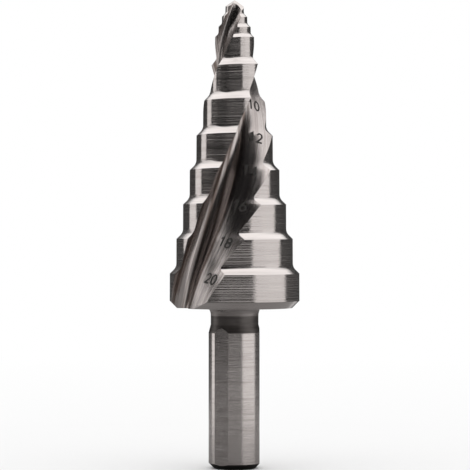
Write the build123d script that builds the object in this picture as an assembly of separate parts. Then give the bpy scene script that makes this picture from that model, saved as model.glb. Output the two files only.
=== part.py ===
from build123d import *
import os
from math import asin, cos, degrees, radians, sin, tan

# Step drill bit, cut from one bar of tool steel.
# It stands on its shank: the origin is the centre of the shank's end face and +Z runs to the point.
# Sizes are in millimetres and degrees. A turn is measured about +Z from the -Y side, positive towards +X.

# Shank and neck
shank_radius = 4.0
shank_length = 20.85
shank_chamfer = 0.85
flat_count = 3
flat_depth = 0.19
flat_turn = -32.0
neck_radius = 3.67
neck_taper_length = 1.25
neck_length = 1.35
neck_blend_radius = 2.0
neck_blend_height = 1.2

# Large steps, from the widest to the narrowest
large_radii = [10.0, 9.0, 8.0, 7.0, 6.0, 5.0, 4.0]
large_pitch = 5.35
base_chamfer = 1.1
base_land_length = 4.2
large_fillet = 1.45

# Small steps that lead up to the point
small_radii = [3.0, 2.5, 2.0, 1.5]
small_pitch = 1.6
first_small_rise = 4.25
small_fillet = 0.7
shoulder_angle = 45.0

# Point: each flank falls along its lip and behind it, and a gash in front thins the web to the axis.
# The gash's wall, and the way its floor falls, are turned from the lip by the last two values.
point_angle = 118.0
lip_clearance = 24.0
gash_fall = 50.0
gash_wall_turn = -21.0
gash_floor_turn = 64.0

# Spiral flutes: the radii are those of the cone that touches the rims, and a share is a share of them
flute_count = 2
helix_angle = 26.3
flute_turn_at_base_rim = -37.1
flute_half_angle = 38.6
flute_widest = 9.5
flute_width_blend = 8
rake_hook = 10.0
rake_depth_share = 0.42
gullet_share = 0.4
heel_lean_at_point = 12.0
heel_lean_at_base = 60.0
heel_lean_radii = (2.5, 6.0)
heel_face_share = 0.5
runout_flare = 0.08
cutter_overrun = 1.0
cutter_reach = 1.35

# Heights along the axis, worked out from the sizes above, and the side of the blocks that cut the point
neck_start = shank_length + neck_taper_length
body_base = neck_start + neck_length + neck_blend_height
base_rim = body_base + base_chamfer + base_land_length
large_rims = [base_rim + large_pitch * step for step in range(len(large_radii))]
first_small_rim = large_rims[-1] + first_small_rise
small_rims = [first_small_rim + small_pitch * step for step in range(len(small_radii))]
step_radii = large_radii + small_radii
step_rims = large_rims + small_rims
point_drop = tan(radians(90 - point_angle / 2))
tip_height = step_rims[-1] + step_radii[-1] * point_drop
point_block = 6 * step_radii[-1]


def shoulder(rim_radius, rim_height, next_radius, fillet_radius):
    """The cone and the concave round fillet that lead from one step's rim up to the next step's land."""
    lead = radians(shoulder_angle)
    cone_run = rim_radius - next_radius - fillet_radius * (1 - cos(lead))
    cone_end = (rim_radius - cone_run, rim_height + cone_run / tan(lead))
    fillet_end = (next_radius, cone_end[1] + fillet_radius * sin(lead))
    corner = (next_radius, fillet_end[1] - fillet_radius * tan(lead / 2))
    cone = Line((rim_radius, rim_height), cone_end)
    return [cone, Bezier(cone_end, corner, fillet_end, weights=[1, cos(lead / 2), 1])]


def shank_outline():
    """The outline from the centre of the end face up to the underside of the stepped body."""
    blend_start = (neck_radius, neck_start + neck_length)
    blend_centre = neck_radius + neck_blend_radius
    blend_turn = asin(neck_blend_height / neck_blend_radius)
    blend_middle = (
        blend_centre - neck_blend_radius * cos(blend_turn / 2),
        blend_start[1] + neck_blend_radius * sin(blend_turn / 2),
    )
    blend_end = (blend_centre - neck_blend_radius * cos(blend_turn), body_base)
    end_face = Line((0, 0), (shank_radius - shank_chamfer, 0))
    chamfer = Bezier(end_face @ 1, (shank_radius, shank_chamfer))
    side = Line(chamfer @ 1, (shank_radius, shank_length))
    taper = Bezier(side @ 1, (neck_radius, neck_start))
    neck = Line(taper @ 1, blend_start)
    blend = ThreePointArc(blend_start, blend_middle, blend_end)
    return [end_face, chamfer, side, taper, neck, blend], blend_end


def step_outline(start):
    """The outline from the underside of the body, up over every step, to the top of the pilot."""
    base = Polyline(
        start,
        (step_radii[0] - base_chamfer, body_base),
        (step_radii[0], body_base + base_chamfer),
        (step_radii[0], step_rims[0]),
    )
    edges = list(base.edges())
    for step, next_radius in enumerate(step_radii[1:]):
        fillet_radius = large_fillet if next_radius in large_radii else small_fillet
        edges += shoulder(step_radii[step], step_rims[step], next_radius, fillet_radius)
        land_start = edges[-1] @ 1
        edges.append(Line(land_start, (next_radius, step_rims[step + 1])))
    pilot_top = Polyline((step_radii[-1], step_rims[-1]), (step_radii[-1], tip_height), (0, tip_height))
    return edges + list(pilot_top.edges())


def turned_blank():
    """The blank as it leaves the lathe: shank, neck and steps, with a square-ended pilot."""
    lower, body_start = shank_outline()
    outline = lower + step_outline(body_start) + [Line((0, tip_height), (0, 0))]
    return revolve(Plane.XZ * make_face(outline), Axis.Z)


def envelope_radius(height):
    """The radius at a height of the cone that touches the rims, carried on above them.
    Below the base rim the wheel runs out and the radius only flares a little."""
    if height < base_rim:
        return step_radii[0] + runout_flare * (base_rim - height)
    above = next((step for step, rim in enumerate(step_rims) if height < rim), len(step_rims) - 1)
    above = max(above, 1)
    rise = step_rims[above] - step_rims[above - 1]
    slope = (step_radii[above] - step_radii[above - 1]) / rise
    return step_radii[above] + slope * (height - step_rims[above])


def spiral_turn(low, high):
    """How far a flute of constant helix angle turns between two heights on one cone."""
    mean_radius = (envelope_radius(low) + envelope_radius(high)) / 2
    return degrees(tan(radians(helix_angle)) * (high - low) / mean_radius)


def flute_turn(height):
    """The turn of a flute's middle at a height. It is set at the base rim."""
    turn = flute_turn_at_base_rim
    if height < base_rim:
        return turn - spiral_turn(height, base_rim)
    low = base_rim
    for rim in step_rims[1:]:
        if height <= rim:
            break
        turn += spiral_turn(low, rim)
        low = rim
    return turn + (spiral_turn(low, height) if height > low else 0)


def half_width(radius):
    """Half the angle that a flute takes up: a fixed share of the turn, until the wheel's width limits it."""
    share = sin(radians(flute_half_angle))
    crowding = (2 * share * radius / flute_widest) ** flute_width_blend
    return asin(share / (1 + crowding) ** (1 / flute_width_blend))


def rounded_corner(before, corner, after, radius):
    """The arc of one radius that rounds a corner of a path."""
    back = (before - corner).normalized()
    on = (after - corner).normalized()
    half_opening = radians(back.get_angle(on)) / 2
    reach = radius / tan(half_opening)
    middle_reach = radius / sin(half_opening) - radius
    middle = corner + (back + on).normalized() * middle_reach
    return ThreePointArc(corner + back * reach, middle, corner + on * reach)


def heel_lean(radius):
    """How far the heel face leans from the radial: steep near the point, broad and open on the wide steps."""
    start, end = heel_lean_radii
    share = min(max((radius - start) / (end - start), 0), 1)
    return heel_lean_at_point + (heel_lean_at_base - heel_lean_at_point) * share


def flute_section(height):
    """A cross-section of the grinding path: rake face, gullet, then a floor that curves out to the heel."""
    radius = envelope_radius(height)
    half = half_width(radius)
    edge = Vector(radius * cos(half), -radius * sin(half))
    heel = Vector(radius * cos(half), radius * sin(half))
    rake_way = (-edge).normalized().rotate(Axis.Z, rake_hook)
    heel_way = (-heel).normalized().rotate(Axis.Z, heel_lean(radius))
    wall = rake_depth_share * radius
    corner = edge + rake_way * wall
    knee = heel + heel_way * (heel_face_share * radius)
    margin = (cutter_reach - 1) * radius
    rake_start = edge - rake_way * margin
    heel_end = heel - heel_way * margin
    outside = cutter_reach * radius
    gullet = rounded_corner(rake_start, corner, knee, gullet_share * wall)
    floor = Bezier(gullet @ 1, knee, heel)
    outer_path = Polyline(
        heel, heel_end, (outside, heel_end.Y), (outside, rake_start.Y), rake_start, gullet @ 0
    )
    section = make_face([gullet, floor] + outer_path.edges())
    return Location((0, 0, height), (0, 0, flute_turn(height) - 90)) * section


def flute_cutter():
    """The space that one flute's grinding wheel sweeps, from below the body to past the point."""
    start = body_base - cutter_overrun
    end = tip_height + cutter_overrun / 2
    heights = [start] + step_rims + [end]
    return loft([flute_section(height) for height in heights])


def flank(lip_turn):
    """The space above one flank of the point: it falls along the lip and, more gently, behind it."""
    along = Vector(1, 0, -point_drop)
    ahead = Vector(0, 1, tan(radians(lip_clearance)))
    plane = Plane(origin=(0, 0, tip_height), x_dir=along, z_dir=along.cross(ahead))
    block = plane * Box(point_block, point_block, point_block, align=(Align.CENTER, Align.CENTER, Align.MIN))
    return Rotation(0, 0, lip_turn - 90) * block


def gash(lip_turn):
    """The space that a thin wheel clears in front of one lip, so that the lip reaches the axis."""
    fall = Vector(1, 0, -tan(radians(gash_fall)))
    floor = Plane(origin=(0, 0, tip_height), x_dir=fall, z_dir=fall.cross(Vector(0, 1, 0)))
    sides = (point_block, point_block, point_block)
    above_floor = floor * Box(*sides, align=(Align.CENTER, Align.CENTER, Align.MIN))
    ahead = Box(*sides, align=(Align.CENTER, Align.MIN, Align.CENTER))
    floor_turn = Rotation(0, 0, lip_turn + gash_floor_turn - 90)
    wall_turn = Rotation(0, 0, lip_turn + gash_wall_turn - 90)
    return (floor_turn * above_floor) & (wall_turn * Pos(0, 0, tip_height) * ahead)


def shank_flat(turn):
    """The block that mills one flat along the shank. It runs out on the neck's taper."""
    depth = shank_radius
    block = Box(depth, 2 * shank_radius, neck_start, align=(Align.MIN, Align.CENTER, Align.MIN))
    return Rotation(0, 0, turn - 90) * Pos(shank_radius - flat_depth, 0, 0) * block


def step_drill_bit():
    """The finished tool."""
    tool = turned_blank()
    for flat in range(flat_count):
        tool -= shank_flat(flat_turn + 360 / flat_count * flat)
    edge_turn = flute_turn(step_rims[-1]) - degrees(half_width(step_radii[-1]))
    cutter = flute_cutter()
    for flute in range(flute_count):
        turn = 360 / flute_count * flute
        tool -= flank(edge_turn + turn)
        tool -= gash(edge_turn + turn)
        tool -= Rotation(0, 0, turn) * cutter
    return tool


os.makedirs("parts", exist_ok=True)
export_step(step_drill_bit(), "parts/step_drill_bit.step")
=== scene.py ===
from math import acos, asin, atan2, cos, degrees, pi, radians, sin, tan
import bmesh
import bpy
import numpy as np
from mathutils import Matrix, Vector
from mathutils.bvhtree import BVHTree
from mathutils.geometry import tessellate_polygon


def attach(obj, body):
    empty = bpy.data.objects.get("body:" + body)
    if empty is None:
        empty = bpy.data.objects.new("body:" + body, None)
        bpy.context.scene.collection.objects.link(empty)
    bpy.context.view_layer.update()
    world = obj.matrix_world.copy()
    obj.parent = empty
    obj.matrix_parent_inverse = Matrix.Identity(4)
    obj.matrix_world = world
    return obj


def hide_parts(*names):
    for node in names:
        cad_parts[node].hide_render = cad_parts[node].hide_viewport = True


# The step drill bit, dressed as ground steel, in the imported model's frame.
# Sizes are in millimetres and degrees until a mesh is written, which is in metres.
# A turn is measured about +Z from the -Y side, positive towards +X.

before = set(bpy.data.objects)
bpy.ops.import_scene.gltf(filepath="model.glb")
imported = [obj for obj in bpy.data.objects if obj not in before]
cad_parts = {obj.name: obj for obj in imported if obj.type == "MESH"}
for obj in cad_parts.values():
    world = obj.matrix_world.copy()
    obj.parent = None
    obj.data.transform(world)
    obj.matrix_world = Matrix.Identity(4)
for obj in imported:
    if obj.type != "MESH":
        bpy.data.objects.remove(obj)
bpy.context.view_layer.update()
NODE = "step_drill_bit"
MM = 0.001

# Shank and neck
SHANK_RADIUS = 4.0
SHANK_LENGTH = 20.85
SHANK_CHAMFER = 0.85
FLAT_COUNT = 3
FLAT_DEPTH = 0.19
FLAT_TURN = -32.0
NECK_RADIUS = 3.67
NECK_TAPER_LENGTH = 1.25
NECK_LENGTH = 1.35
NECK_BLEND_RADIUS = 2.0
NECK_BLEND_HEIGHT = 1.2

# Steps, from the widest to the narrowest
LARGE_RADII = [10.0, 9.0, 8.0, 7.0, 6.0, 5.0, 4.0]
LARGE_PITCH = 5.35
BASE_CHAMFER = 1.1
BASE_LAND_LENGTH = 4.2
LARGE_FILLET = 1.45
SMALL_RADII = [3.0, 2.5, 2.0, 1.5]
SMALL_PITCH = 1.6
FIRST_SMALL_RISE = 4.25
SMALL_FILLET = 0.7
SHOULDER_ANGLE = 45.0

# Point
POINT_ANGLE = 118.0
LIP_CLEARANCE = 24.0
GASH_FALL = 50.0
GASH_WALL_TURN = -21.0
GASH_FLOOR_TURN = 64.0

# Relief behind each cutting edge, for each degree of turn. Along the axis it lessens between two radii.
RADIAL_RELIEF = 0.0015
AXIAL_RELIEFS = (0.0026, 0.0008)
AXIAL_RELIEF_RADII = (7.0, 10.0)

# Spiral flutes: the shares are of the radius of the cone that touches the rims
HELIX_ANGLE = 26.3
FLUTE_TURN_AT_BASE_RIM = -37.1
FLUTE_HALF_ANGLE = 38.6
FLUTE_WIDEST = 9.5
FLUTE_WIDTH_BLEND = 8
RAKE_HOOK = 10.0
RAKE_DEPTH_SHARE = 0.42
GULLET_SHARE = 0.4
HEEL_LEAN_AT_POINT = 12.0
HEEL_LEAN_AT_BASE = 60.0
HEEL_LEAN_RADII = (2.5, 6.0)
HEEL_FACE_SHARE = 0.5
RUNOUT_FLARE = 0.08
RUNOUT_BLEND = 2.5

# The cutters carry on past the surface that they cut. The first is a share of the radius.
SECTION_OVERRUN = 0.8
PILOT_OVERRUN = 0.3
FLAT_BLOCK = 14.0
POINT_BLOCK = 6 * SMALL_RADII[-1]

# Fineness of the mesh. A flute's section has four parts of as many steps: the rake face, the gullet, the floor
# and the way out past the heel.
SECTION_STEPS = 40
GULLET_END = 2 * SECTION_STEPS
HEEL_POINT = 3 * SECTION_STEPS
RELIEF_STEPS = 34
ROW_STEP = 0.3
FILLET_ROWS = 6
FLUTE_COLUMNS = 60
LAND_COLUMNS = 48
SHANK_COLUMNS = 160
SHARP_ANGLE = 14.0

# Edges shorter than the speck, in metres, are dissolved. The tolerance keeps a row at a level below it.
SPECK = 1e-7
TOLERANCE = 0.001

# Finishes, in the order of the list of materials. Where the profile runs in by more than this share of its
# rise, it is a shoulder.
# The neck's blend, the neck and the shank's end chamfer have finishes of painted shade.
TURNED, FLUTED, SHANKED, POINTED, NECK_BLEND_PAINTED_SHADE, NECK_PAINTED_SHADE, END_CHAMFER_PAINTED_SHADE, SHOULDERED, FLATTED = range(9)
SHOULDER_SLOPE = 0.3

# Heights along the axis, worked out from the sizes above
NECK_START = SHANK_LENGTH + NECK_TAPER_LENGTH
BODY_BASE = NECK_START + NECK_LENGTH + NECK_BLEND_HEIGHT
BASE_RIM = BODY_BASE + BASE_CHAMFER + BASE_LAND_LENGTH
LARGE_RIMS = [BASE_RIM + LARGE_PITCH * step for step in range(len(LARGE_RADII))]
FIRST_SMALL_RIM = LARGE_RIMS[-1] + FIRST_SMALL_RISE
SMALL_RIMS = [FIRST_SMALL_RIM + SMALL_PITCH * step for step in range(len(SMALL_RADII))]
STEP_RADII = LARGE_RADII + SMALL_RADII
STEP_RIMS = LARGE_RIMS + SMALL_RIMS
POINT_DROP = tan(radians(90 - POINT_ANGLE / 2))
TIP_HEIGHT = STEP_RIMS[-1] + STEP_RADII[-1] * POINT_DROP


def unit(angle):
    """The direction at an angle in radians, in the plane of a section."""
    return np.array([cos(angle), sin(angle)])


def envelope_radius(height):
    """The radius at a height of the cone that touches the rims, carried on above them. Below the base rim the
    wheel runs out and the radius only flares a little. The bend there is rounded off."""
    from_rim = height - BASE_RIM
    if from_rim < RUNOUT_BLEND:
        lean = (STEP_RADII[0] - STEP_RADII[1]) / LARGE_PITCH - RUNOUT_FLARE
        bend = max(from_rim + RUNOUT_BLEND, 0) ** 2 / (4 * RUNOUT_BLEND)
        return STEP_RADII[0] - RUNOUT_FLARE * from_rim - lean * bend
    above = next((step for step, rim in enumerate(STEP_RIMS) if height < rim), len(STEP_RIMS) - 1)
    above = max(above, 1)
    rise = STEP_RIMS[above] - STEP_RIMS[above - 1]
    slope = (STEP_RADII[above] - STEP_RADII[above - 1]) / rise
    return STEP_RADII[above] + slope * (height - STEP_RIMS[above])


def spiral_turn(low, high):
    """How far a flute of constant helix angle turns between two heights on one cone."""
    mean_radius = (envelope_radius(low) + envelope_radius(high)) / 2
    return degrees(tan(radians(HELIX_ANGLE)) * (high - low) / mean_radius)


def flute_turn(height):
    """The turn of a flute's middle at a height. It is set at the base rim."""
    turn = FLUTE_TURN_AT_BASE_RIM
    if height < BASE_RIM:
        return turn - spiral_turn(height, BASE_RIM)
    low = BASE_RIM
    for rim in STEP_RIMS[1:]:
        if height <= rim:
            break
        turn += spiral_turn(low, rim)
        low = rim
    return turn + (spiral_turn(low, height) if height > low else 0)


def half_width(radius):
    """Half the angle that a flute takes up: a fixed share of the turn, until the wheel's width limits it."""
    share = sin(radians(FLUTE_HALF_ANGLE))
    crowding = (2 * share * radius / FLUTE_WIDEST) ** FLUTE_WIDTH_BLEND
    return asin(share / (1 + crowding) ** (1 / FLUTE_WIDTH_BLEND))


def heel_lean(radius):
    """How far the heel face leans from the radial: steep near the point, broad and open on the wide steps."""
    start, end = HEEL_LEAN_RADII
    share = min(max((radius - start) / (end - start), 0), 1)
    return radians(HEEL_LEAN_AT_POINT + (HEEL_LEAN_AT_BASE - HEEL_LEAN_AT_POINT) * share)


def flute_path(height):
    """A flute's section at one height: points from outside the cutting edge, over the floor, to outside the
    heel. With them come their shares of the way along it, its length and the turn of its middle in radians."""
    radius = envelope_radius(height)
    half = half_width(radius)
    edge = radius * unit(-half)
    heel = radius * unit(half)
    rake_way = unit(pi - half + radians(RAKE_HOOK))
    heel_way = unit(pi + half + heel_lean(radius))
    wall = RAKE_DEPTH_SHARE * radius
    corner = edge + rake_way * wall
    knee = heel + heel_way * (HEEL_FACE_SHARE * radius)
    on = (knee - corner) / np.linalg.norm(knee - corner)
    half_opening = acos(float(np.dot(-rake_way, on))) / 2
    gullet_radius = GULLET_SHARE * wall
    reach = gullet_radius / tan(half_opening)
    middle_way = (on - rake_way) / np.linalg.norm(on - rake_way)
    centre = corner + middle_way * (gullet_radius / sin(half_opening))
    start, end = corner - rake_way * reach, corner + on * reach
    first = atan2(*(start - centre)[::-1])
    sweep = (atan2(*(end - centre)[::-1]) - first + pi) % (2 * pi) - pi
    share = np.linspace(0, 1, SECTION_STEPS + 1)[:, None]
    arc_angle = first + sweep * share
    outside_edge = edge - rake_way * (SECTION_OVERRUN * radius)
    outside_heel = heel - heel_way * (SECTION_OVERRUN * radius)
    points = np.vstack([
        outside_edge + (start - outside_edge) * share,
        (centre + gullet_radius * np.hstack([np.cos(arc_angle), np.sin(arc_angle)]))[1:],
        (end * (1 - share) ** 2 + 2 * knee * share * (1 - share) + heel * share ** 2)[1:],
        (heel + (outside_heel - heel) * share)[1:],
    ])
    distance = np.concatenate([[0], np.cumsum(np.linalg.norm(np.diff(points, axis=0), axis=1))])
    return points, distance / distance[-1], distance[-1], radians(flute_turn(height) - 90)


def crossing(path, radius, from_heel):
    """Where a flute's section meets the land of one radius: the share along the section, and the angle."""
    points, share, _, turn = path
    reach = np.linalg.norm(points, axis=1)
    inside = np.nonzero(reach < radius)[0]
    inner = inside[-1] if from_heel else inside[0]
    outer = inner + 1 if from_heel else inner - 1
    mix = (radius - reach[inner]) / (reach[outer] - reach[inner])
    point = points[inner] + (points[outer] - points[inner]) * mix
    return share[inner] + (share[outer] - share[inner]) * mix, turn + atan2(point[1], point[0])


def relieved(points, drop):
    """A flute's section with its heel side brought inwards to meet the relieved land."""
    weight = np.clip((np.arange(len(points)) - GULLET_END) / RELIEF_STEPS, 0, 1)[:, None]
    weight = weight * weight * (3 - 2 * weight)
    return points * (1 - drop * weight / np.linalg.norm(points, axis=1)[:, None])


def body_row(radius, height, axial_share, travel):
    """One closed row of points round the fluted body. The first point comes again at the end.
    Each is x, y, z, then the distances across and along the grinding: in the flute, and on the land."""
    path = flute_path(height)
    edge_share, edge_turn = crossing(path, radius, False)
    heel_share, heel_turn = crossing(path, radius, True)
    span = edge_turn + pi - heel_turn
    radial_drop = RADIAL_RELIEF * degrees(span)
    axial_relief = float(np.interp(radius, AXIAL_RELIEF_RADII, AXIAL_RELIEFS))
    axial_drop = axial_relief * degrees(span) * axial_share
    points, share, length, turn = path
    points = relieved(points, radial_drop)
    half = []
    for mix in np.linspace(0, 1, FLUTE_COLUMNS):
        place = edge_share + (heel_share - edge_share) * mix
        x = np.interp(place, share, points[:, 0])
        y = np.interp(place, share, points[:, 1])
        angle = edge_turn if mix < 0.5 else heel_turn
        half.append((
            x * cos(turn) - y * sin(turn), x * sin(turn) + y * cos(turn), height - axial_drop * mix,
            (place - share[HEEL_POINT]) * length, height, travel, radius * angle,
        ))
    for mix in np.linspace(0, 1, LAND_COLUMNS + 1)[1:-1]:
        reach = radius - radial_drop * (1 - mix)
        angle = heel_turn + span * mix
        level = height - axial_drop * (1 - mix)
        half.append((reach * cos(angle), reach * sin(angle), level, 0, level, travel, radius * angle))
    rows = np.array(half)
    half_turned = rows * [-1, -1, 1, 1, 1, 1, 1]
    half_turned[:, 6] += pi * radius
    closing = rows[:1].copy()
    closing[:, 6] += 2 * pi * radius
    return np.vstack([rows, half_turned, closing])


def stretch(start, end, share_start=1.0, share_end=1.0):
    """A straight stretch of the profile as short pieces, without its first point.
    Each point is the radius, the height and the share of the axial relief."""
    length = ((end[0] - start[0]) ** 2 + (end[1] - start[1]) ** 2) ** 0.5
    count = max(1, round(length / ROW_STEP))
    rows = []
    for index in range(1, count + 1):
        mix = index / count
        rows.append((
            start[0] + (end[0] - start[0]) * mix,
            start[1] + (end[1] - start[1]) * mix,
            share_start + (share_end - share_start) * mix,
        ))
    return rows


def body_profile():
    """The profile of the stepped body, from the underside's rim to above the point."""
    lead = radians(SHOULDER_ANGLE)
    start = (STEP_RADII[0] - BASE_CHAMFER, BODY_BASE)
    land = (STEP_RADII[0], BODY_BASE + BASE_CHAMFER)
    rows = [(*start, 0.0)] + stretch(start, land, 0.0, 0.0)
    rows += stretch(land, (STEP_RADII[0], STEP_RIMS[0]), 0.0, 1.0)
    for step, radius in enumerate(STEP_RADII[1:]):
        rim = (STEP_RADII[step], STEP_RIMS[step])
        fillet = LARGE_FILLET if radius in LARGE_RADII else SMALL_FILLET
        run = rim[0] - radius - fillet * (1 - cos(lead))
        cone_end = (rim[0] - run, rim[1] + run / tan(lead))
        rows += stretch(rim, cone_end)
        centre = (radius + fillet, cone_end[1] + fillet * sin(lead))
        for index in range(1, FILLET_ROWS + 1):
            angle = lead * (1 - index / FILLET_ROWS)
            rows.append((centre[0] - fillet * cos(angle), centre[1] - fillet * sin(angle), 1.0))
        rows += stretch((radius, centre[1]), (radius, STEP_RIMS[step + 1]))
    pilot_top = (STEP_RADII[-1], TIP_HEIGHT + PILOT_OVERRUN)
    return rows + stretch((STEP_RADII[-1], STEP_RIMS[-1]), pilot_top, 1.0, 0.0)


def shank_profile():
    """The profile of the neck and the shank, from the underside of the body down to the end face."""
    turn = asin(NECK_BLEND_HEIGHT / NECK_BLEND_RADIUS)
    centre = (NECK_RADIUS + NECK_BLEND_RADIUS, NECK_START + NECK_LENGTH)
    rows = []
    for index in range(FILLET_ROWS + 1):
        angle = turn * (1 - index / FILLET_ROWS)
        rows.append((centre[0] - NECK_BLEND_RADIUS * cos(angle), centre[1] + NECK_BLEND_RADIUS * sin(angle)))
    corners = [
        (NECK_RADIUS, centre[1]),
        (NECK_RADIUS, NECK_START),
        (SHANK_RADIUS, SHANK_LENGTH),
        (SHANK_RADIUS, SHANK_CHAMFER),
        (SHANK_RADIUS - SHANK_CHAMFER, 0.0),
    ]
    for start, end in zip(corners, corners[1:]):
        rows += [row[:2] for row in stretch(start, end)]
    return rows


def travelled(profile):
    """The distance along a profile at each of its points."""
    places = np.array([point[:2] for point in profile])
    return np.concatenate([[0], np.cumsum(np.linalg.norm(np.diff(places, axis=0), axis=1))])


class Surface:
    """Gathers the points, faces, grinding coordinates and finishes of a mesh."""

    def __init__(self):
        self.points, self.faces, self.grinds, self.finishes = [], [], [], []

    def add(self, faces, grinds, finish):
        """Adds one face: its points, their grinding coordinates and its finish."""
        self.faces.append(faces)
        self.grinds.append(grinds)
        self.finishes.append(finish)

    def mesh(self, name, materials):
        """All of it as a mesh, with the grinding coordinates as a UV map."""
        mesh = bpy.data.meshes.new(name)
        mesh.from_pydata([tuple(p * MM for p in point) for point in self.points], [], self.faces)
        layer = mesh.uv_layers.new(name="grind")
        layer.data.foreach_set("uv", [value for face in self.grinds for pair in face for value in pair])
        mesh.polygons.foreach_set("material_index", self.finishes)
        for material in materials:
            mesh.materials.append(material)
        mesh.validate()
        return mesh


def add_body(surface):
    """Adds the stepped body with its flutes, closed above. Returns the points round its open foot."""
    profile = body_profile()
    grid = np.array([body_row(*row, travel) for row, travel in zip(profile, travelled(profile))])
    count = grid.shape[1] - 1
    surface.points += grid[:, :count, :3].reshape(-1, 3).tolist()
    for level in range(len(grid) - 1):
        run, rise = profile[level][0] - profile[level + 1][0], profile[level + 1][1] - profile[level][1]
        land_finish = SHOULDERED if run > SHOULDER_SLOPE * rise else TURNED
        for column in range(count):
            in_flute = column % (count // 2) < FLUTE_COLUMNS - 1
            part = slice(3, 5) if in_flute else slice(5, 7)
            corners = ((level, column), (level, column + 1), (level + 1, column + 1), (level + 1, column))
            surface.add(
                [row * count + place % count for row, place in corners],
                [tuple(grid[row, place, part]) for row, place in corners],
                FLUTED if in_flute else land_finish,
            )
    top = [(len(grid) - 1) * count + column for column in range(count)]
    surface.add(top, [(0, 0)] * count, POINTED)
    return list(range(count))


def shank_finish(height):
    """The finish of the neck and the shank just below a height."""
    below = height - TOLERANCE
    # The neck's blend, the neck with its taper and the end chamfer get darker steel: painted shade under the
    # body and at the floor.
    if below > NECK_START + NECK_LENGTH:
        return NECK_BLEND_PAINTED_SHADE
    if below > SHANK_LENGTH:
        return NECK_PAINTED_SHADE
    return SHANKED if below > SHANK_CHAMFER else END_CHAMFER_PAINTED_SHADE


def add_shank(surface):
    """Adds the neck and the shank, closed below. Returns the points round the neck's open top."""
    first = len(surface.points)
    profile = shank_profile()
    along = travelled(profile)
    for radius, height in profile:
        for column in range(SHANK_COLUMNS):
            angle = 2 * pi * column / SHANK_COLUMNS
            surface.points.append((radius * cos(angle), radius * sin(angle), height))
    for level in range(len(profile) - 1):
        for column in range(SHANK_COLUMNS):
            corners = ((level + 1, column), (level + 1, column + 1), (level, column + 1), (level, column))
            surface.add(
                [first + row * SHANK_COLUMNS + place % SHANK_COLUMNS for row, place in corners],
                [(along[row], 2 * pi * SHANK_RADIUS * place / SHANK_COLUMNS) for row, place in corners],
                shank_finish(profile[level][1]),
            )
    last_ring = first + (len(profile) - 1) * SHANK_COLUMNS
    surface.points.append((0, 0, 0))
    step = 2 * pi * SHANK_RADIUS / SHANK_COLUMNS
    for column in range(SHANK_COLUMNS):
        surface.add(
            [last_ring + (column + 1) % SHANK_COLUMNS, last_ring + column, len(surface.points) - 1],
            [(profile[-1][0], step * (column + 1)), (profile[-1][0], step * column), (0, step * column)],
            SHANKED,
        )
    return list(range(first, first + SHANK_COLUMNS))


def add_underside(surface, foot, top):
    """Adds the flat underside of the body, between its foot and the top of the neck."""
    flat = foot + top
    loops = [[Vector(surface.points[index]) for index in loop] for loop in (foot, top)]
    for triangle in tessellate_polygon(loops):
        corners = [flat[index] for index in triangle]
        a, b, c = [Vector(surface.points[index]) for index in corners]
        if (b - a).cross(c - a).z > 0:
            corners.reverse()
        surface.add(corners, [surface.points[index][:2] for index in corners], TURNED)


def bit_surface():
    """The whole bit as one closed surface, before its flats and its point are cut."""
    surface = Surface()
    foot = add_body(surface)
    top = add_shank(surface)
    add_underside(surface, foot, top)
    return surface


def half_space(name, origin, along, across, size, finish):
    """A block that fills one side of a plane. The plane holds both ways; the block lies along their cross."""
    x_way, y_way = Vector(along).normalized(), Vector(across)
    y_way = (y_way - x_way * y_way.dot(x_way)).normalized()
    frame_of_plane = Matrix((x_way, y_way, x_way.cross(y_way))).transposed().to_4x4()
    frame_of_plane.translation = Vector(origin)
    surface = Surface()
    for z in (0, size):
        for x, y in ((-size, -size), (size, -size), (size, size), (-size, size)):
            surface.points.append(tuple(frame_of_plane @ Vector((x, y, z))))
    flat = [(-size, -size), (size, -size), (size, size), (-size, size)]
    surface.add([3, 2, 1, 0], flat[::-1], finish)
    surface.add([4, 5, 6, 7], flat, finish)
    for side in range(4):
        following = (side + 1) % 4
        surface.add([side, following, following + 4, side + 4], flat, finish)
    return linked(name, surface.mesh(name, FINISHES))


def linked(name, data):
    """A new object with this data, in the scene."""
    thing = bpy.data.objects.new(name, data)
    bpy.context.scene.collection.objects.link(thing)
    return thing


def turned_way(turn, rise=0.0):
    """A direction at a turn about the axis, rising by so much for each unit out."""
    return (cos(radians(turn - 90)), sin(radians(turn - 90)), rise)


def cut(thing, tools):
    """Cuts a mesh with others, which are then removed."""
    for tool in tools:
        modifier = thing.modifiers.new("cut", "BOOLEAN")
        modifier.operation = "DIFFERENCE"
        modifier.solver = "EXACT"
        modifier.material_mode = "INDEX"
        modifier.object = tool
    graph = bpy.context.evaluated_depsgraph_get()
    mesh = bpy.data.meshes.new_from_object(thing.evaluated_get(graph))
    thing.modifiers.clear()
    thing.data = mesh
    for tool in tools:
        bpy.data.objects.remove(tool)


def flat_cutters():
    """The blocks that mill the flats along the shank."""
    tools = []
    for index in range(FLAT_COUNT):
        turn = FLAT_TURN + 360 / FLAT_COUNT * index
        origin = Vector(turned_way(turn)) * (SHANK_RADIUS - FLAT_DEPTH)
        origin.z = SHANK_LENGTH / 2
        tools.append(half_space("flat", origin, (0, 0, 1), turned_way(turn - 90), FLAT_BLOCK, FLATTED))
    return tools


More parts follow.
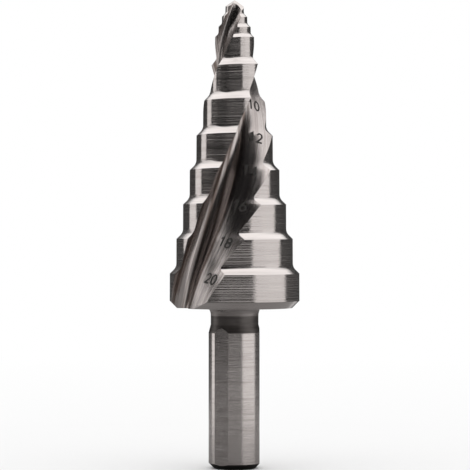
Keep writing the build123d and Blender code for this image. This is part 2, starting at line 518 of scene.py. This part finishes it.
def point_cutters():
    """The blocks that grind the flanks of the point, and the gash in front of each lip."""
    tip = (0, 0, TIP_HEIGHT)
    edge_turn = flute_turn(STEP_RIMS[-1]) - degrees(half_width(STEP_RADII[-1]))
    tools = []
    for lip_turn in (edge_turn, edge_turn + 180):
        along = turned_way(lip_turn, -POINT_DROP)
        ahead = turned_way(lip_turn + 90, tan(radians(LIP_CLEARANCE)))
        tools.append(half_space("flank", tip, along, ahead, POINT_BLOCK, POINTED))
        fall = turned_way(lip_turn + GASH_FLOOR_TURN, -tan(radians(GASH_FALL)))
        level = turned_way(lip_turn + GASH_FLOOR_TURN + 90)
        gash = half_space("gash", tip, fall, level, POINT_BLOCK, POINTED)
        wall_way = turned_way(lip_turn + GASH_WALL_TURN)
        cut(gash, [half_space("wall", tip, wall_way, (0, 0, 1), 2 * POINT_BLOCK, POINTED)])
        tools.append(gash)
    return tools


class Shading:
    """A new material's nodes, with short ways to add more. A value is a number, a tuple or a node's socket."""

    def __init__(self, name):
        self.material = bpy.data.materials.new(name)
        self.material.use_nodes = True
        self.nodes, self.links = self.material.node_tree.nodes, self.material.node_tree.links
        self.shader = self.nodes["Principled BSDF"]

    def feed(self, socket, value):
        """Gives an input a fixed value, or links a socket to it."""
        if isinstance(value, bpy.types.NodeSocket):
            self.links.new(value, socket)
        else:
            socket.default_value = value

    def add(self, kind, inputs, **settings):
        """A new node of a kind, with its inputs by name or by number, and its own settings."""
        node = self.nodes.new("ShaderNode" + kind)
        for setting, value in settings.items():
            setattr(node, setting, value)
        for key, value in inputs.items():
            self.feed(node.inputs[key], value)
        return node

    def ranged(self, value, limits, out_limits):
        """A value moved from one range to another."""
        names = ("From Min", "From Max", "To Min", "To Max")
        inputs = dict(zip(names, (*limits, *out_limits)))
        return self.add("MapRange", {"Value": value, **inputs}).outputs["Result"]

    def combined(self, operation, first, second):
        """The sum, product or the like of two values."""
        return self.add("Math", {0: first, 1: second}, operation=operation).outputs["Value"]

    def blended(self, factor, first, second):
        """A colour between two others."""
        inputs = {"A": first, "B": second, "Factor": factor}
        return self.add("Mix", inputs, data_type="RGBA").outputs["Result"]


# The grinding marks: how their noise is read, and how stains widen them. The shifts keep kinds of marks apart.
MARK_ROUGHNESS = 0.65
FINE_RANGE = (0.3, 0.7)
FINE_SHIFT = 3.1
ROUGHNESS_SPREAD = (0.8, 1.25)
STAIN_WIDTHS, STAIN_LENGTHS = 4, 2
STAIN_DETAIL = 3.0
STAIN_SHIFT = 7.7
STAIN_RANGE = (0.45, 0.75)

# A flute's broad streaks and brown stains: marks given as width, length, detail and shift. They start at the
# first distance from the heel and are full at the second.
STREAKED = (-3.2, -5.5)
STREAKS = (0.75, 45.0, 3.0, 11.3)
STREAK_DEPTH = 0.07
BROWN = (0.17, 0.125, 0.105)
BROWNS = (0.975, 45.0, 2.0, 5.9)
BROWN_RANGE = (0.44, 0.6)
BROWN_SHARE = 0.9


def ground_steel(name, tint, roughness, blur, lines, stain, stain_share, octaves=4.0, streaks=False):
    """Steel with fine grinding marks along the second grinding coordinate of the mesh. Its lines are given as
    width, length and depth. The blur tells how much more a reflection spreads across them than along them.
    Streaks add the broad marks and brown stains that a flute has, except near its heel."""
    width, length, depth = lines
    shading = Shading(name)
    grind = shading.add("UVMap", {}, uv_map="grind").outputs["UV"]
    tangent = shading.add("Tangent", {}, direction_type="UV_MAP", uv_map="grind").outputs["Tangent"]

    def marks_of(across, along, detail, shift):
        """Noise drawn out along the grinding."""
        scaling = {"Vector": grind, "Scale": (1 / across, 1 / along, 1), "Location": (shift, shift, 0)}
        place = shading.add("Mapping", scaling).outputs["Vector"]
        inputs = {"Vector": place, "Scale": 1.0, "Detail": detail, "Roughness": MARK_ROUGHNESS}
        return shading.add("TexNoise", inputs, noise_dimensions="2D").outputs["Fac"]

    fine = marks_of(width, length, octaves, FINE_SHIFT)
    broad = marks_of(width * STAIN_WIDTHS, length * STAIN_LENGTHS, STAIN_DETAIL, STAIN_SHIFT)
    relief = fine
    colour = shading.blended(shading.ranged(broad, STAIN_RANGE, (0.0, stain_share)), (*tint, 1), (*stain, 1))
    if streaks:
        from_heel = shading.add("SeparateXYZ", {"Vector": grind}).outputs["X"]
        weight = shading.ranged(from_heel, STREAKED, (0.0, 1.0))
        wide = shading.combined("MULTIPLY", marks_of(*STREAKS), weight)
        relief = shading.combined("ADD", fine, shading.combined("MULTIPLY", wide, STREAK_DEPTH / depth))
        brown = shading.ranged(marks_of(*BROWNS), BROWN_RANGE, (0.0, BROWN_SHARE))
        colour = shading.blended(shading.combined("MULTIPLY", brown, weight), colour, (*BROWN, 1))
    bump = shading.add("Bump", {"Distance": depth * MM, "Height": relief})
    for socket, value in (
        ("Metallic", 1.0),
        ("Anisotropic", blur),
        ("Tangent", tangent),
        ("Normal", bump.outputs["Normal"]),
        ("Roughness", shading.ranged(fine, FINE_RANGE, [roughness * spread for spread in ROUGHNESS_SPREAD])),
        ("Base Color", colour),
    ):
        shading.feed(shading.shader.inputs[socket], value)
    return shading.material


STEEL = (0.625, 0.574, 0.553)
FINISHES = [
    ground_steel(
        "turned", STEEL, 0.18, 1.0,
        lines=(0.22, 40.0, 0.05), stain=(0.36, 0.325, 0.305), stain_share=0.45, octaves=1.5,
    ),
    ground_steel(
        "fluted", (0.62, 0.565, 0.545), 0.2, 0.75,
        lines=(0.16, 30.0, 0.017), stain=(0.28, 0.235, 0.22), stain_share=0.65, streaks=True,
    ),
    ground_steel(
        "shanked", (0.66, 0.605, 0.583), 0.19, 0.75,
        lines=(0.11, 5.0, 0.012), stain=(0.4, 0.36, 0.34), stain_share=0.55,
    ),
    ground_steel(
        "pointed", STEEL, 0.25, 0.5,
        lines=(0.1, 4.0, 0.006), stain=(0.4, 0.38, 0.36), stain_share=0.4,
    ),
    # The neck's blend: rougher steel, with its colour darkened as painted shade under the body.
    ground_steel(
        "neck_blend_painted_shade", (0.34, 0.31, 0.3), 0.5, 0.3,
        lines=(0.1, 3.0, 0.008), stain=(0.18, 0.165, 0.155), stain_share=0.6,
    ),
    # The neck and its taper: steel darkened almost to black as painted shade under the body.
    ground_steel(
        "neck_painted_shade", (0.16, 0.145, 0.138), 0.45, 0.3,
        lines=(0.1, 3.0, 0.008), stain=(0.08, 0.073, 0.07), stain_share=0.6,
    ),
    # The shank's end chamfer: steel painted nearly black as the shade where it meets the floor.
    ground_steel(
        "end_chamfer_painted_shade", (0.05, 0.046, 0.044), 0.45, 0.3,
        lines=(0.1, 3.0, 0.008), stain=(0.03, 0.028, 0.027), stain_share=0.6,
    ),
    ground_steel(
        "shouldered", (0.65, 0.603, 0.586), 0.2, 0.6,
        lines=(0.2, 30.0, 0.009), stain=(0.47, 0.43, 0.41), stain_share=0.5,
    ),
    ground_steel(
        "flatted", (0.6, 0.549, 0.53), 0.22, 0.65,
        lines=(0.11, 5.0, 0.012), stain=(0.35, 0.312, 0.295), stain_share=0.55,
    ),
]
bit = linked("bit", bit_surface().mesh("bit", FINISHES))
cut(bit, flat_cutters())
cut(bit, point_cutters())
# The cuts leave a few faces without area, which go
tidied = bmesh.new()
tidied.from_mesh(bit.data)
bmesh.ops.dissolve_degenerate(tidied, dist=SPECK, edges=tidied.edges)
tidied.to_mesh(bit.data)
tidied.free()
bit.data.shade_smooth()
bit.data.set_sharp_from_angle(angle=radians(SHARP_ANGLE))
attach(bit, "root")
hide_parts(NODE)


# The marked diameters: each number, the height of its middle, and its distance from the heel over the floor
NUMBERS = [
    ("20", 29.3, 2.4),
    ("18", 34.8, 3.1),
    ("16", 40.35, 3.3),
    ("14", 45.65, 3.35),
    ("12", 50.75, 3.15),
    ("10", 55.75, 3.3),
]

# The digits and their strokes. The fall is how far a number sinks for each millimetre across it.
DIGIT_WIDTH = 0.82
DIGIT_HEIGHT = 1.5
DIGIT_PITCH = 1.18
BASELINE_FALL = 0.18
STROKE = 0.28
STROKE_STEP = 0.1
MITRE_LIMIT = 0.5
LOOP_POINTS = 25
MARK_PROUD = 0.006
MARK_DEPTH = 0.03

# The laser's burnt steel
BURN_SCALE = 9000
BURN_DETAIL = 3
BURN_GLOSS = 0.2
BURN_COLOURS = ((0.010, 0.009, 0.008, 1), (0.040, 0.036, 0.033, 1))
BURN_ROUGHNESS = (0.45, 0.75)


def loop(x, y, wide, high, start=0, sweep=360):
    """Part of an ellipse as points, in the digit's own square. Angles run anticlockwise from the right."""
    angles = np.radians(start + sweep * np.linspace(0, 1, LOOP_POINTS))
    return np.column_stack([x + wide * np.cos(angles), y + high * np.sin(angles)])


# Each digit as one or two lines, in a square from 0 to 1
DIGITS = {
    "0": [loop(0.5, 0.5, 0.5, 0.5)],
    "1": [[(0.15, 0.78), (0.6, 1.0), (0.6, 0.0)]],
    "2": [np.vstack([loop(0.48, 0.7, 0.45, 0.3, 165, -200), [(0.0, 0.0), (1.0, 0.0)]])],
    "4": [[(0.72, 0.0), (0.72, 1.0), (0.0, 0.3), (1.0, 0.3)]],
    "6": [loop(0.5, 0.3, 0.48, 0.3), loop(0.95, 0.3, 0.93, 0.7, 180, -75)],
    "8": [loop(0.5, 0.76, 0.42, 0.24), loop(0.5, 0.26, 0.5, 0.26)],
}


def spot(height, from_heel, across, up):
    """The place on the flute that lies across and up from one at a height and a distance from the heel."""
    level = height + up * cos(radians(HELIX_ANGLE)) - across * BASELINE_FALL
    path, share, length, turn = flute_path(level)
    place = share[HEEL_POINT] - (from_heel - across / cos(radians(HELIX_ANGLE))) / length
    x = np.interp(place, share, path[:, 0])
    y = np.interp(place, share, path[:, 1])
    return Vector((x * cos(turn) - y * sin(turn), x * sin(turn) + y * cos(turn), level)) * MM


def even_steps(points, closed):
    """A line through the same points, with even short steps between them."""
    points = np.asarray(points, dtype=float)
    if closed:
        points = points[:-1]
    ends = np.roll(points, -1, axis=0) if closed else points[1:]
    stepped = []
    for start, end in zip(points, ends):
        count = max(1, round(float(np.linalg.norm(end - start)) / STROKE_STEP))
        stepped += [start + (end - start) * index / count for index in range(count)]
    return np.array(stepped if closed else stepped + [points[-1]])


def edges_of_stroke(line, closed):
    """The two edges of a stroke of even width along a line."""
    ahead = np.roll(line, -1, axis=0) - line
    behind = line - np.roll(line, 1, axis=0)
    if not closed:
        ahead[-1], behind[0] = behind[-1], ahead[0]
    ahead /= np.linalg.norm(ahead, axis=1)[:, None]
    behind /= np.linalg.norm(behind, axis=1)[:, None]
    way = ahead + behind
    way /= np.linalg.norm(way, axis=1)[:, None]
    side = np.column_stack([-way[:, 1], way[:, 0]])
    across_ahead = np.column_stack([-ahead[:, 1], ahead[:, 0]])
    widening = 1 / np.maximum(np.abs((side * across_ahead).sum(axis=1)), MITRE_LIMIT)
    reach = side * (STROKE / 2 * widening)[:, None]
    return line + reach, line - reach


def marks_mesh(name, tree):
    """All the numbers as thin strokes let into the flute's surface."""
    points, faces = [], []
    for number, height, from_heel in NUMBERS:
        for place, digit in enumerate(number):
            start = (place - (len(number) - 1) / 2) * DIGIT_PITCH - DIGIT_WIDTH / 2
            for shape in DIGITS[digit]:
                shape = np.asarray(shape, dtype=float)
                closed = bool(np.allclose(shape[0], shape[-1]))
                line = shape * [DIGIT_WIDTH, DIGIT_HEIGHT] + [start, -DIGIT_HEIGHT / 2]
                line = even_steps(line, closed)
                first = len(points)
                for pair in zip(*edges_of_stroke(line, closed)):
                    hits = [tree.find_nearest(spot(height, from_heel, *edge)) for edge in pair]
                    points += [hit[0] + hit[1] * (MARK_PROUD * MM) for hit in hits]
                    points += [hit[0] - hit[1] * (MARK_DEPTH * MM) for hit in reversed(hits)]
                rings = len(line)
                for ring_index in range(rings if closed else rings - 1):
                    here, after = first + 4 * ring_index, first + 4 * ((ring_index + 1) % rings)
                    for side in range(4):
                        other = (side + 1) % 4
                        faces.append((here + side, here + other, after + other, after + side))
                if not closed:
                    last = first + 4 * (rings - 1)
                    faces += [(first + 3, first + 2, first + 1, first), (last, last + 1, last + 2, last + 3)]
    mesh = bpy.data.meshes.new(name)
    mesh.from_pydata([tuple(point) for point in points], [], faces)
    return mesh


def marked_steel():
    """Steel that a laser has darkened and roughened."""
    shading = Shading("marked")
    place = shading.add("TexCoord", {}).outputs["Object"]
    inputs = {"Vector": place, "Scale": BURN_SCALE, "Detail": BURN_DETAIL}
    noise = shading.add("TexNoise", inputs).outputs["Fac"]
    shader = shading.shader
    shader.inputs["Specular IOR Level"].default_value = BURN_GLOSS
    shading.feed(shader.inputs["Base Color"], shading.blended(noise, *BURN_COLOURS))
    shading.feed(shader.inputs["Roughness"], shading.ranged(noise, (0.0, 1.0), BURN_ROUGHNESS))
    return shading.material


surface_tree = BVHTree.FromPolygons(
    [vertex.co for vertex in bit.data.vertices], [tuple(face.vertices) for face in bit.data.polygons]
)
marks = linked("size_marks", marks_mesh("size_marks", surface_tree))
marks.data.materials.append(marked_steel())
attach(marks, "root")


# The stage: a pale floor, a white surround, a soft light above, and cards and rings that only reflections see.
# Its lengths are in metres and its turns and rises in degrees.
CARD_DISTANCE = 0.45
CARD_STEP = 3.0
BIT_MIDDLE = 0.04
RING_STEP = 5
RING_HEIGHT = 0.0001
RING_NEAR, RING_MIDDLE, RING_FAR = 0.06, 0.1, 0.2
STAGE_ROUGHNESS = 0.9
PAPER_GREY = 0.8
PAPER_REACH = 3
PAPER_FADE = (0.08, 0.3)
LAMP_SIZE = 1.6
LAMP_ENERGY = 3.0
LAMP_PLACE = (0, 0.2, 0.75)


def coloured(name, grey, glows):
    """A plain grey material of the stage, matt or giving its own light."""
    shading = Shading(name)
    inputs = shading.shader.inputs
    inputs["Roughness"].default_value = STAGE_ROUGHNESS
    inputs["Specular IOR Level"].default_value = 0.0
    inputs["Base Color"].default_value = (0, 0, 0, 1) if glows else (grey, grey, grey, 1)
    inputs["Emission Color"].default_value = (grey, grey, grey, 1)
    inputs["Emission Strength"].default_value = 1.0 if glows else 0.0
    return shading


def staged(name, points, faces, shading):
    """A part of the stage."""
    mesh = bpy.data.meshes.new(name)
    mesh.from_pydata(points, [], faces)
    mesh.materials.append(shading.material)
    thing = linked(name, mesh)
    return thing


def card(name, outline, grey):
    """A curved card round the bit, that gives light as bright as its grey and that only reflections see.
    Its outline gives, from left to right, a turn and the rise of the lower and the upper edge."""
    corners = [point[0] for point in outline]
    turns = np.unique(np.concatenate([np.arange(corners[0], corners[-1], CARD_STEP), corners]))
    lower = np.interp(turns, corners, [point[1] for point in outline])
    upper = np.interp(turns, corners, [point[2] for point in outline])
    points, faces = [], []
    for turn, low_rise, high_rise in zip(turns, lower, upper):
        way = Vector(turned_way(turn)) * CARD_DISTANCE
        for rise in (low_rise, high_rise):
            points.append((way.x, way.y, max(0.0, BIT_MIDDLE + CARD_DISTANCE * tan(radians(rise)))))
    for index in range(len(turns) - 1):
        faces.append((2 * index, 2 * index + 2, 2 * index + 3, 2 * index + 1))
    only_reflected(staged(name, points, faces, coloured(name, grey, True)))


def ring(name, start, end, inner, outer, grey):
    """A matt part of a ring on the floor, between two turns and two radii, that only reflections see."""
    points, faces = [], []
    for turn in range(start, end + 1, RING_STEP):
        x, y, _ = turned_way(turn)
        points += [(x * inner, y * inner, RING_HEIGHT), (x * outer, y * outer, RING_HEIGHT)]
    for index in range(len(points) // 2 - 1):
        faces.append((2 * index, 2 * index + 1, 2 * index + 3, 2 * index + 2))
    only_reflected(staged(name, points, faces, coloured(name, grey, False)))


def only_reflected(thing):
    """Hides a thing from all but glossy rays."""
    thing.visible_camera = False
    thing.visible_diffuse = False
    thing.visible_shadow = False
    thing.visible_transmission = False


# They put the dark and bright bands where the photo has them
low_card = [(-98, 14, 14), (-94, 0, 14), (-93.5, -9, 14), (34, -9, 14)]
high_card = [
    (-106, 20, 24), (-98, 14, 24), (-79, 14, 24), (-72, 14, 40), (-62, 14, 50), (-48, 14, 55), (-20, 14, 53),
    (0, 14, 48), (10, 14, 46), (34, 14, 43), (34.5, 22, 36), (50, 22.5, 33), (66, 23, 30),
]
back_card = [(101, -9, 26), (240, -9, 26)]
card("low_card", low_card, 0.03)
card("high_card", high_card, 0.008)
card("back_card", back_card, 0.055)
# The near ring is painted shade: a darker floor right round the bit, that only reflections see.
ring("near_ring", 0, 360, 0.0, RING_NEAR, 0.25)
ring("left_inner_ring", -95, -30, RING_NEAR, RING_MIDDLE, 0.6)
ring("left_near_ring", -95, -30, RING_MIDDLE, RING_FAR, 0.1)
ring("front_inner_ring", -30, 35, RING_NEAR, RING_MIDDLE, 0.75)
ring("front_near_ring", -30, 35, RING_MIDDLE, RING_FAR, 0.38)
ring("front_far_ring", -95, 35, RING_FAR, CARD_DISTANCE, 0.05)
ring("side_ring", 35, 100, RING_FAR, CARD_DISTANCE, 0.5)
ring("back_inner_ring", 100, 240, RING_NEAR, RING_MIDDLE, 0.5)
ring("back_ring", 100, 240, RING_MIDDLE, CARD_DISTANCE, 0.12)

# The floor is matt paper near the bit. Further out it gives its own white light, like the surround.
paper = coloured("paper", PAPER_GREY, False)
place = paper.add("TexCoord", {}).outputs["Object"]
away = paper.add("VectorMath", {0: place}, operation="LENGTH").outputs["Value"]
white = paper.add("Emission", {}).outputs["Emission"]
inputs = {0: paper.ranged(away, PAPER_FADE, (0.0, 1.0)), 1: paper.shader.outputs["BSDF"], 2: white}
surface = paper.add("MixShader", inputs).outputs["Shader"]
paper.feed(paper.nodes["Material Output"].inputs["Surface"], surface)
corners = [(x * PAPER_REACH, y * PAPER_REACH, 0) for x, y in ((-1, -1), (1, -1), (1, 1), (-1, 1))]
staged("floor", corners, [(0, 1, 2, 3)], paper)

world = bpy.data.worlds.new("surround")
bpy.context.scene.world = world
world.use_nodes = True
background = world.node_tree.nodes["Background"].inputs
background["Color"].default_value = (1, 1, 1, 1)
background["Strength"].default_value = 1.0

lamp = bpy.data.lights.new("overhead", "AREA")
lamp.shape = "RECTANGLE"
lamp.size, lamp.size_y = LAMP_SIZE, LAMP_SIZE
lamp.energy = LAMP_ENERGY
overhead = linked("overhead", lamp)
overhead.location = LAMP_PLACE
overhead.visible_camera = False

# The camera: level, at the height of the bit's middle
CAMERA_DISTANCE = 0.335
CAMERA_HEIGHT = 0.03585
CAMERA_SIDE = 0.00006
HALF_VIEW = radians(6.16)
SENSOR_WIDTH = 36
CLIP = (0.01, 20)
lens = bpy.data.cameras.new("camera")
lens.sensor_width = SENSOR_WIDTH
lens.lens = SENSOR_WIDTH / 2 / tan(HALF_VIEW)
lens.clip_start, lens.clip_end = CLIP
camera = linked("camera", lens)
camera.location = (CAMERA_SIDE, -CAMERA_DISTANCE, CAMERA_HEIGHT)
camera.rotation_euler = (pi / 2, 0, 0)
bpy.context.scene.camera = camera
bpy.context.scene.view_settings.view_transform = "Standard"
